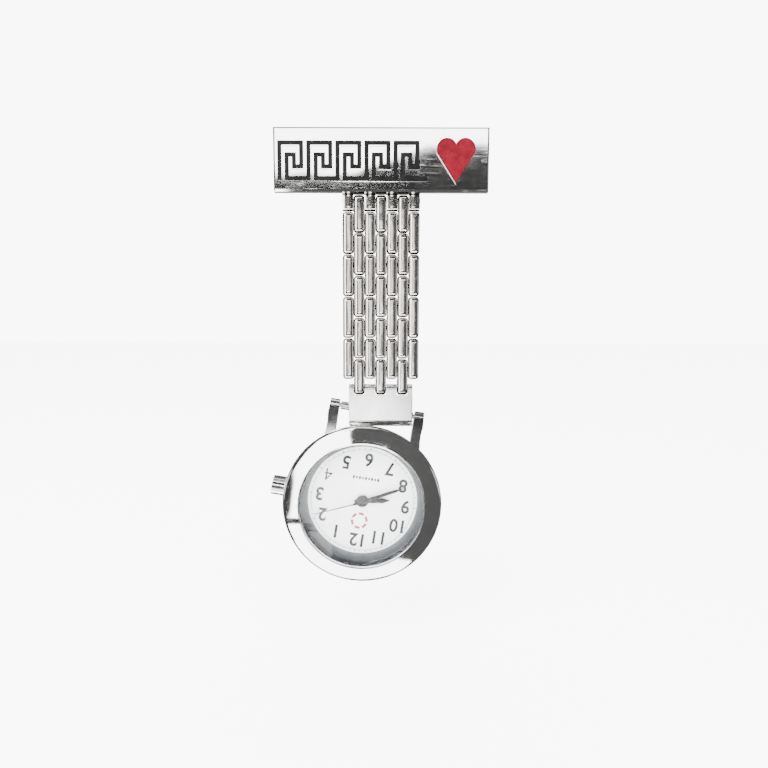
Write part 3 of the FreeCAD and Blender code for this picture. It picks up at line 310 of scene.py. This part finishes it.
def rehaut_metal():
    """The sloping flange under the crystal, coloured with painted shade: dark blue-grey at its rim, paler towards
    the dial.
    """
    graph = Graph("rehaut_metal")
    foot_radius, rim_radius = 10.3, 11.6
    height = graph.step(graph.from_dial_centre(), foot_radius, rim_radius)
    streak = graph.noise(0.5, 4.0, 0.6)
    depth = graph.math("ADD", height, graph.span(streak, -0.15, 0.15))
    # Painted shade: the colour darkens from the foot up to the rim, standing in for shade under the bezel.
    foot_painted_shade, slope_painted_shade, rim_painted_shade = (0.10, 0.11, 0.12), (0.028, 0.032, 0.037), (0.012, 0.015, 0.018)
    shade = graph.ramp(depth, (0.0, foot_painted_shade), (0.4, slope_painted_shade), (1.0, rim_painted_shade))
    return graph.set(Base_Color=shade, Metallic=0.35, Roughness=graph.span(streak, 0.3, 0.42),
                     Specular_IOR_Level=0.15, Normal=graph.bump(graph.noise(7.0), 0.003, 0.5))


# ---------------------------------------------------------------- other materials

def enamel(name, tone, deep, shine):
    """Smooth fill with faint flow marks and dust specks."""
    graph = Graph(name)
    flow = graph.noise(0.8, 3.0, 0.5)
    dust = graph.ramp(graph.noise(9.0, 2.0, 0.5), (0.22, 1.0), (0.27, 0.0))
    shade = graph.mix(graph.ramp(flow, (0.35, 0.0), (0.7, 1.0)), rgb(*deep), rgb(*tone))
    shade = graph.mix(graph.math("MULTIPLY", dust, 0.15), shade, rgb(*(c * 2.5 for c in tone)))
    normal = graph.bump(flow, 0.03, 0.5)
    rough = graph.span(graph.noise(2.0, 4.0, 0.6), 0.2, 0.34)
    return graph.set(Base_Color=shade, Roughness=rough, Normal=normal, Specular_IOR_Level=shine)


def lacquer():
    """White dial lacquer with the faintest grain."""
    graph = Graph("dial_white")
    mottle = graph.noise(0.4, 4.0, 0.6)
    grain = graph.noise(22.0, 2.0, 0.6)
    share = graph.ramp(mottle, (0.3, 0.0), (0.75, 1.0))
    shade = graph.mix(share, rgb(0.93, 0.93, 0.93), rgb(0.88, 0.885, 0.895))
    normal = graph.bump(grain, 0.003, 0.5)
    return graph.set(Base_Color=shade, Roughness=graph.span(mottle, 0.32, 0.42), Normal=normal)


def ink(name, tone, pale):
    """Pad-printed ink, thinner in places."""
    graph = Graph(name)
    thin = graph.noise(9.0, 3.0, 0.7)
    shade = graph.mix(graph.ramp(thin, (0.45, 0.0), (0.75, 1.0)), rgb(*tone), rgb(*pale))
    return graph.set(Base_Color=shade, Roughness=graph.span(thin, 0.35, 0.6), Specular_IOR_Level=0.15,
                     Normal=graph.bump(thin, 0.004, 0.5))


def hand_paint():
    """Satin black paint on the hands, rubbed a little in places."""
    graph = Graph("hand_black")
    grain = graph.noise(12.0, 3.0, 0.6)
    rubbed = graph.ramp(grain, (0.4, 0.0), (0.8, 1.0))
    shade = graph.mix(rubbed, rgb(0.005, 0.005, 0.006), rgb(0.014, 0.014, 0.015))
    return graph.set(Base_Color=shade, Roughness=graph.span(grain, 0.25, 0.42), Specular_IOR_Level=0.15,
                     Normal=graph.bump(grain, 0.003, 0.6))


def glass():
    """The crystal: clear, with faint wipe marks."""
    graph = Graph("glass")
    wipe = graph.noise(0.5, 4.0, 0.6, graph.stretched((1, 1, 3)))
    tint = graph.mix(wipe, rgb(0.985, 0.995, 1.0), rgb(1.0, 1.0, 1.0))
    rough = graph.span(wipe, 0.0, 0.03)
    return graph.set(Base_Color=tint, Roughness=rough, IOR=1.3, Transmission_Weight=1.0)


def plain(name, tone, deep, rough):
    """Moulded or coated stuff with mottled colour, uneven gloss and a fine surface."""
    graph = Graph(name)
    mottle = graph.noise(3.0, 5.0, 0.6)
    shade = graph.mix(graph.ramp(mottle, (0.3, 0.0), (0.7, 1.0)), rgb(*tone), rgb(*deep))
    spread = 0.08
    rough_map = graph.span(mottle, rough - spread, rough + spread)
    normal = graph.bump(mottle, 0.01, 0.6)
    return graph.set(Base_Color=shade, Roughness=rough_map, Normal=normal)


def winding():
    """Lacquered copper wire, turn beside turn."""
    graph = Graph("copper")
    space = graph.stretched((0.15, 0.15, 1.0))
    inputs = {"Vector": space, "Scale": 3.0, "Distortion": 0.2}
    wave = graph.add("ShaderNodeTexWave", inputs, bands_direction="Z").outputs["Fac"]
    shade = graph.mix(wave, rgb(0.55, 0.20, 0.09), rgb(0.90, 0.42, 0.22))
    return graph.set(Base_Color=shade, Metallic=0.8, Roughness=graph.span(graph.noise(5.0), 0.2, 0.4),
                     Normal=graph.bump(wave, 0.03, 0.8))


LOOKS = {
    "polished_metal": polished_metal(),
    "bar_metal": bar_metal(),
    "strap_metal": strap_metal(),
    "satin_metal": satin_metal(),
    "stamped_metal": stamped_metal(),
    "steel": steel(),
    "brass": brass(),
    "brushed_steel": back_metal(),
    "rehaut_metal": rehaut_metal(),
    "black_enamel": enamel("black_enamel", (0.0045, 0.005, 0.0047), (0.002, 0.0022, 0.002), 0.06),
    "red_enamel": enamel("red_enamel", (0.070, 0.0012, 0.005), (0.045, 0.0007, 0.003), 0.08),
    "dial_white": lacquer(),
    "ink_black": ink("ink_black", (0.012, 0.012, 0.013), (0.03, 0.03, 0.033)),
    "ink_grey": ink("ink_grey", (0.09, 0.09, 0.095), (0.16, 0.16, 0.165)),
    "ink_red": ink("ink_red", (0.24, 0.035, 0.055), (0.34, 0.09, 0.12)),
    "hand_black": hand_paint(),
    "glass": glass(),
    "clear_plastic": plain("clear_plastic", (0.80, 0.83, 0.86), (0.72, 0.76, 0.80), 0.3),
    "rubber": plain("rubber", (0.035, 0.035, 0.036), (0.02, 0.02, 0.021), 0.6),
    "white_plastic": plain("white_plastic", (0.86, 0.85, 0.82), (0.78, 0.77, 0.74), 0.45),
    "board": plain("board", (0.03, 0.22, 0.10), (0.02, 0.15, 0.07), 0.4),
    "copper": winding(),
}

# Nodes that look different from the rest of their slot.
OWN_LOOKS = {"bar_plate": "bar_metal", "rehaut_ring": "rehaut_metal", "strap_hanger": "strap_metal"}


def dress_frame():
    """Give every CAD node the look of its material slot."""
    slots = {part["node"]: part["material_slot"] for part in frame["record"]["subparts"]}
    for name, thing in nodes.items():
        look = OWN_LOOKS.get(name, slots[name])
        thing.data.materials.clear()
        thing.data.materials.append(LOOKS[look])


# ---------------------------------------------------------------- meshes


def baked(made, name):
    """A mesh from finished bmesh work."""
    mesh = bpy.data.meshes.new(name)
    made.to_mesh(mesh)
    made.free()
    return mesh


def piece(name, mesh, look, body):
    """A finished mesh as an object that rides on a body."""
    made = bpy.data.objects.new(name, mesh)
    bpy.context.scene.collection.objects.link(made)
    mesh.materials.clear()
    mesh.materials.append(LOOKS[look])
    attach(made, body)
    return made


FACE_HEIGHT = 0.69
LETTER_DEPTH = 0.006 * MM


def lettered(name, words, height, heavier):
    """A flat mesh of a few characters in the built-in face, centred on the origin.

    FACE_HEIGHT is how tall a character is at size 1, and heavier is how far its outline grows.
    """
    curve = bpy.data.curves.new(name, "FONT")
    curve.body = words
    curve.size = height / FACE_HEIGHT
    curve.align_x = "CENTER"
    curve.align_y = "CENTER"
    curve.extrude = LETTER_DEPTH
    curve.offset = heavier
    curve.resolution_u = 6
    holder = bpy.data.objects.new(name, curve)
    bpy.context.scene.collection.objects.link(holder)
    bpy.context.view_layer.update()
    shown = holder.evaluated_get(bpy.context.evaluated_depsgraph_get())
    mesh = bpy.data.meshes.new_from_object(shown)
    bpy.data.objects.remove(holder)
    xs = [v.co.x for v in mesh.vertices]
    ys = [v.co.y for v in mesh.vertices]
    middle = Vector(((min(xs) + max(xs)) / 2, (min(ys) + max(ys)) / 2, 0))
    mesh.transform(Matrix.Translation(-middle))
    return mesh


def merged(name, parts):
    """One mesh from several, each with its own matrix."""
    gathered = bmesh.new()
    for mesh, matrix in parts:
        mesh.transform(matrix)
        gathered.from_mesh(mesh)
    return baked(gathered, name)


def extruded(outline, depth):
    """A flat plate from an outline of (right, up) points on the dial plane, its face at y = 0."""
    made = bmesh.new()
    ring = [made.verts.new((x, 0, z)) for x, z in outline]
    face = made.faces.new(ring)
    if face.normal.y > 0:
        face.normal_flip()
    made.normal_update()
    result = bmesh.ops.extrude_face_region(made, geom=[face])
    moved = [v for v in result["geom"] if isinstance(v, bmesh.types.BMVert)]
    bmesh.ops.translate(made, vec=(0, depth, 0), verts=moved)
    bmesh.ops.recalc_face_normals(made, faces=made.faces)
    return baked(made, "plate")


def circle(made, radius, level, segments):
    """A ring of points about the Y axis."""
    angles = [2 * math.pi * k / segments for k in range(segments)]
    return [made.verts.new((radius * math.cos(a), level, radius * math.sin(a))) for a in angles]


def skin(made, first, second):
    """Faces between two rings of points."""
    for k in range(len(first)):
        after = (k + 1) % len(first)
        made.faces.new((first[k], second[k], second[after], first[after]))


def band(inner, outer, depth, segments=128):
    """A flat ring on the dial plane."""
    made = bmesh.new()
    profile = ((inner, 0), (outer, 0), (outer, depth), (inner, depth))
    rings = [circle(made, radius, level, segments) for radius, level in profile]
    for first, second in zip(rings, rings[1:] + rings[:1]):
        skin(made, first, second)
    bmesh.ops.recalc_face_normals(made, faces=made.faces)
    return baked(made, "band")


INK_LIFT = 0.012 * MM

# Lays the plane of the letters on the dial, facing out and upside down.
UPSIDE_DOWN = Matrix(((-1, 0, 0, 0), (0, 0, -1, 0), (0, -1, 0, 0), (0, 0, 0, 1)))


def on_dial(clock_degrees, radius):
    """The ink's place at a clock angle from the twelve, which is at the bottom of this dial."""
    angle = math.radians(clock_degrees + 180)
    return (HEAD @ Matrix.Translation((0, DIAL_FACE - INK_LIFT, 0))
            @ Matrix.Translation((radius * math.sin(angle), 0, radius * math.cos(angle))))


def print_numerals():
    """Twelve numerals, upright for the wearer, so upside down for anyone in front."""
    reach_x, reach_z, height, narrowing, growth = 8.2, 7.8, 2.4, 0.95, 0.10
    narrow = Matrix.Diagonal((narrowing, 1, 1, 1))
    parts = []
    for hour in range(1, 13):
        angle = math.radians(hour * 30 + 180)
        x = reach_x * MM * math.sin(angle)
        z = reach_z * MM * math.cos(angle)
        place = Matrix.Translation((x, DIAL_FACE - INK_LIFT, z))
        # A heavier 4 would fill its own window.
        heavier = 0.0 if hour == 4 else growth
        numeral = lettered("numeral", str(hour), height * MM, heavier * MM)
        parts.append((numeral, HEAD @ place @ UPSIDE_DOWN @ narrow))
    piece("dial_numerals", merged("dial_numerals", parts), "ink_black", "watch_head")


def print_track():
    """The minute track: a fine ring with a tick for each minute, heavier at the hours."""
    inner, outer, line, wide_tick, fine_tick = 9.65, 10.05, 0.06, 0.22, 0.09
    parts = [(band(inner * MM, (inner + line) * MM, INK_LIFT), on_dial(0, 0))]
    for minute in range(60):
        half = (wide_tick if minute % 5 == 0 else fine_tick) / 2 * MM
        tick = [(-half, inner * MM), (half, inner * MM), (half, outer * MM), (-half, outer * MM)]
        turn = Matrix.Rotation(math.radians(minute * 6), 4, "Y")
        parts.append((extruded(tick, INK_LIFT), on_dial(0, 0) @ turn))
    piece("dial_track", merged("dial_track", parts), "ink_grey", "watch_head")


def print_ring():
    """A plain red ring of dashes between the middle and the twelve."""
    dashes, arc, pieces, inner, outer, distance = 6, 42, 8, 1.15, 1.62, 4.0
    parts = []
    for k in range(dashes):
        steps = [math.radians(360 / dashes * k + arc * i / pieces) for i in range(pieces + 1)]
        outside = [(outer * MM * math.cos(a), outer * MM * math.sin(a)) for a in steps]
        inside = [(inner * MM * math.cos(a), inner * MM * math.sin(a)) for a in reversed(steps)]
        parts.append((extruded(outside + inside, INK_LIFT), on_dial(0, distance * MM)))
    piece("dial_red_ring", merged("dial_red_ring", parts), "ink_red", "watch_head")


def print_rule():
    """A plain row of diamonds between the middle and the six."""
    count, pitch, half, tall, short, distance = 9, 0.58, 0.25, 0.48, 0.32, 4.25
    parts = []
    for k in range(count):
        x = (k - (count - 1) / 2) * pitch * MM
        reach = (short if k % 2 else tall) * MM
        diamond = [(x - half * MM, 0), (x, -reach), (x + half * MM, 0), (x, reach)]
        parts.append((extruded(diamond, INK_LIFT), on_dial(180, distance * MM)))
    piece("dial_rule", merged("dial_rule", parts), "ink_black", "watch_head")


# ---------------------------------------------------------------- hands

SHARP_ANGLE = math.radians(35)


def ridged(outline, depth, rise):
    """A hand blade with a raised spine; outline is (half width, reach) from tail to tip."""
    made = bmesh.new()
    rows = []
    for half, reach in outline:
        section = [(-half, 0), (0, -rise), (half, 0), (half, depth), (-half, depth)]
        rows.append([made.verts.new((x, y, reach)) for x, y in section])
    for first, second in zip(rows, rows[1:]):
        for k in range(len(first)):
            after = (k + 1) % len(first)
            made.faces.new((first[k], first[after], second[after], second[k]))
    made.faces.new(rows[0])
    made.faces.new(reversed(rows[-1]))
    bmesh.ops.recalc_face_normals(made, faces=made.faces)
    return baked(made, "blade")


def turned(profile, segments=64):
    """A solid turned about the Y axis from (radius, y) points, closed at both ends."""
    made = bmesh.new()
    rings = [circle(made, radius, level, segments) for radius, level in profile]
    for first, second in zip(rings, rings[1:]):
        skin(made, first, second)
    made.faces.new(rings[0])
    made.faces.new(reversed(rings[-1]))
    bmesh.ops.recalc_face_normals(made, faces=made.faces)
    mesh = baked(made, "turned")
    mesh.shade_smooth()
    mesh.set_sharp_from_angle(angle=SHARP_ANGLE)
    return mesh


SHEET_SHARE, RIDGE_SHARE = 0.45, 0.35
HUB_PROFILE = [(0.82, -1.0), (1.0, -0.75), (1.0, 0.0)]


def make_hand(name, body, blade, hub_radius, clock_degrees):
    """One hand with a ridged blade and a domed hub, in place of the plain CAD one."""
    node = nodes[name]
    back = max(v.co.y for v in node.data.vertices)
    front = min(v.co.y for v in node.data.vertices)
    centre = HEAD.translation.copy()
    centre.y = back
    skew = HEAD.to_euler().y
    turn = Matrix.Rotation(skew + math.radians(180 + clock_degrees), 4, "Y")
    place = Matrix.Translation(centre) @ turn
    thick = back - front
    sheet = SHEET_SHARE * thick
    shaft = [(half * MM, reach * MM) for half, reach in blade]
    blade_mesh = ridged(shaft, sheet, RIDGE_SHARE * thick)
    hub = turned([(radius * hub_radius * MM, level * thick) for radius, level in HUB_PROFILE])
    parts = [(blade_mesh, place @ Matrix.Translation((0, -sheet, 0))), (hub, place)]
    hand = piece(f"{name}_fine", merged(name, parts), "hand_black", body)
    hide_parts(name)


def make_hands():
    """Hands at about twenty to nine, each blade as (half width, reach) in millimetres."""
    hour_blade = [(0.20, -1.6), (0.42, -0.9), (0.42, 3.3), (0.55, 3.6), (0.04, 5.2)]
    minute_blade = [(0.16, -1.9), (0.33, -1.0), (0.30, 6.2), (0.04, 8.4)]
    seconds_blade = [(0.20, -2.7), (0.20, -1.6), (0.10, -1.3), (0.08, 9.2)]
    make_hand("hour_hand", "hour_pipe", hour_blade, hub_radius=1.15, clock_degrees=260)
    make_hand("minute_hand", "minute_arbor", minute_blade, hub_radius=0.95, clock_degrees=242.6)
    make_hand("seconds_hand", "seconds_arbor", seconds_blade, hub_radius=0.55, clock_degrees=67)


# ---------------------------------------------------------------- studio

# Levels of light, from a lamp down to black cloth.
ROOM = 9.0
BRIGHT = 8.0
PALE = 1.0
GREY = 0.40
DIM = 0.11
SHADE = 0.10
DEEP = 0.06
DARK = 0.04

# Beyond every direction: a zone that reaches one of these is open at that end.
LEAST, MOST = -2.0, 2.0


class Surroundings(Tree):
    """What polished metal reflects, by direction, laid on in order: each patch covers those before.

    The right sways a little, so that the edges of its zones aren't straight, and the true right doesn't.
    The slope is how far up a direction goes for each step forward.
    """

    def __init__(self, tree):
        super().__init__(tree)
        self.direction = self.add("ShaderNodeTexCoord").outputs["Generated"]
        axes = self.add("ShaderNodeSeparateXYZ", {0: self.direction})
        sway = self.span(self.clouds(3.0, 2.0), -0.06, 0.06)
        self.true_right = axes.outputs[0]
        self.right = self.math("ADD", self.true_right, sway)
        self.back = axes.outputs[1]
        self.up = axes.outputs[2]
        forward = self.math("MAXIMUM", self.math("MULTIPLY", self.back, -1.0), 0.01)
        self.slope = self.math("DIVIDE", self.up, forward)
        self.wide = self.math("ABSOLUTE", self.true_right)
        self.patches = self.clouds(16.0, 3.0)
        self.level = DIM

    def clouds(self, scale, detail):
        """A noise value by direction."""
        inputs = {"Vector": self.direction, "Scale": scale, "Detail": detail}
        return self.add("ShaderNodeTexNoise", inputs).outputs["Fac"]

    def between(self, value, low, high, soft=0.02):
        """A share of 1 where a value lies between two others."""
        above_low = self.step(value, low - soft, low)
        below_high = self.step(value, high + soft, high)
        return self.math("MULTIPLY", above_low, below_high)

    def lay(self, level, *shares):
        """Cover the directions where every share is 1 with a level."""
        share = shares[0]
        for other in shares[1:]:
            share = self.math("MULTIPLY", share, other)
        self.level = self.add("ShaderNodeMix", {0: share, 2: self.level, 3: level}).outputs[0]


def lay_sides(room):
    """A bright left side with a dark line across it and near black beyond, some bright floor, a dim rear."""
    left_side = room.between(room.right, -0.74, -0.18)
    room.lay(BRIGHT, left_side)
    room.lay(DEEP, room.between(room.true_right, LEAST, -0.72))
    room.lay(DARK, left_side, room.between(room.up, -0.470, -0.425, 0.01))
    room.lay(BRIGHT, room.between(room.up, -0.93, -0.80), room.between(room.right, -0.76, 0.36))
    room.lay(DIM, room.between(room.back, -0.20, 0.94))


def lay_front(room, ahead, middle):
    """What the links and the end plate mirror: patches and a lamp in a shaded field."""
    strap_height = room.between(room.slope, -0.10, 0.215)
    plate_height = room.between(room.slope, -0.30, -0.10)
    room.lay(SHADE, ahead, middle, room.between(room.slope, -1.1, 0.215))
    room.lay(GREY, ahead, strap_height, room.between(room.true_right, -0.27, -0.07))
    room.lay(BRIGHT, ahead, plate_height, room.between(room.true_right, -0.078, 0.02, 0.01))
    room.lay(PALE, ahead, plate_height, room.between(room.true_right, 0.03, 0.062, 0.01))
    links = room.remap(room.patches, {"From Min": 0.40, "From Max": 0.56, "To Min": 0.45, "To Max": 3.0})
    room.lay(links, ahead, strap_height, room.between(room.true_right, -0.085, 0.07))


def lay_horizon(room, ahead, middle):
    """What the bar mirrors: dark below a ragged edge that climbs to the right, and bright above it."""
    rise = room.span(room.step(room.true_right, -0.05, 0.08), 0.290, 0.336)
    edge = room.math("ADD", rise, room.span(room.patches, -0.006, 0.006))
    above = room.math("SUBTRACT", room.slope, edge)
    room.lay(DARK, ahead, middle, room.between(room.slope, 0.225, 0.39))
    sky = room.between(above, 0.0, 0.3, 0.006)
    room.lay(BRIGHT, ahead, middle, sky, room.between(room.slope, 0, 0.385))


def lay_ends(room):
    """Softer light straight to each side, above and behind, where it is dim low down and at the right."""
    right_end, left_end, top_end, rear, rear_lamp = 1.2, 1.6, 2.5, 0.30, 4.0
    room.lay(right_end, room.between(room.right, 0.985, MOST))
    room.lay(left_end, room.between(room.right, LEAST, -0.985))
    room.lay(top_end, room.between(room.up, 0.985, MOST))
    behind = room.between(room.back, 0.95, MOST)
    room.lay(rear, behind)
    room.lay(rear_lamp, behind, room.between(room.up, -0.08, MOST), room.between(room.right, LEAST, 0.25))


def reflections(tree):
    """The whole of what polished metal reflects."""
    room = Surroundings(tree)
    lay_sides(room)
    ahead = room.between(room.back, LEAST, -0.5)
    middle = room.between(room.wide, LEAST, 0.22)
    lay_front(room, ahead, middle)
    lay_horizon(room, ahead, middle)
    lay_ends(room)
    return room


def world_light():
    """One even light for the camera and matt surfaces, and banded surroundings for reflections."""
    world = bpy.data.worlds.new("studio")
    bpy.context.scene.world = world
    world.use_nodes = True
    world.node_tree.nodes.clear()
    room = reflections(world.node_tree)
    path = room.add("ShaderNodeLightPath").outputs
    gloss = room.math("MINIMUM", path["Glossy Depth"], 1.0)
    matt = room.math("MINIMUM", path["Diffuse Depth"], 1.0)
    mirrored = room.math("MULTIPLY", gloss, room.math("SUBTRACT", 1.0, matt))
    strength = room.add("ShaderNodeMix", {0: mirrored, 2: ROOM, 3: room.level}).outputs[0]
    shade = room.add("ShaderNodeBackground", {"Color": rgb(1.0, 1.0, 1.0), "Strength": strength})
    out = room.add("ShaderNodeOutputWorld")
    room.feed(out.inputs["Surface"], shade.outputs[0])


def soft_light(name, place, aim, size, power):
    """A square area light that faces a point."""
    data = bpy.data.lights.new(name, "AREA")
    data.shape = "SQUARE"
    data.size = size
    data.energy = power
    lamp = bpy.data.objects.new(name, data)
    bpy.context.scene.collection.objects.link(lamp)
    lamp.location = place
    lamp.rotation_euler = (Vector(aim) - Vector(place)).to_track_quat("-Z", "Y").to_euler()
    lamp.visible_glossy = False


def floor():
    """A wide pale floor a little below the watch."""
    drop = 0.012
    size = 3.0
    mesh = bpy.data.meshes.new("floor")
    z = cad_box[0][2] - drop
    corners = [(-size, -size, z), (size, -size, z), (size, size, z), (-size, size, z)]
    mesh.from_pydata(corners, [], [(0, 1, 2, 3)])
    made = bpy.data.objects.new("floor", mesh)
    bpy.context.scene.collection.objects.link(made)
    graph = Graph("floor_paper")
    grain = graph.noise(0.5, 4.0, 0.6)
    shade = graph.mix(grain, rgb(0.97, 0.97, 0.97), rgb(0.99, 0.99, 0.99))
    mesh.materials.append(graph.set(Base_Color=shade, Roughness=0.9))
    made.visible_glossy = False


def camera():
    """The camera at the photograph's viewing angle."""
    place_mm = (0.61, -100.68, -30.29)
    tilt, lean = -0.095, -0.003
    data = bpy.data.cameras.new("camera")
    data.lens = 25.135
    data.sensor_width = 36.0
    data.clip_start = 0.005
    made = bpy.data.objects.new("camera", data)
    bpy.context.scene.collection.objects.link(made)
    level = Matrix.Rotation(math.pi / 2, 4, "X")
    turn = Matrix.Rotation(tilt, 4, "X") @ Matrix.Rotation(lean, 4, "Y") @ level
    made.matrix_world = Matrix.Translation(Vector(place_mm) * MM) @ turn
    bpy.context.scene.camera = made


dress_frame()
print_numerals()
print_track()
print_ring()
print_rule()
make_hands()
world_light()
soft_light("key", place=(-0.22, -0.25, 0.22), aim=(0, 0, -0.04), size=0.25, power=3.0)
floor()
camera()
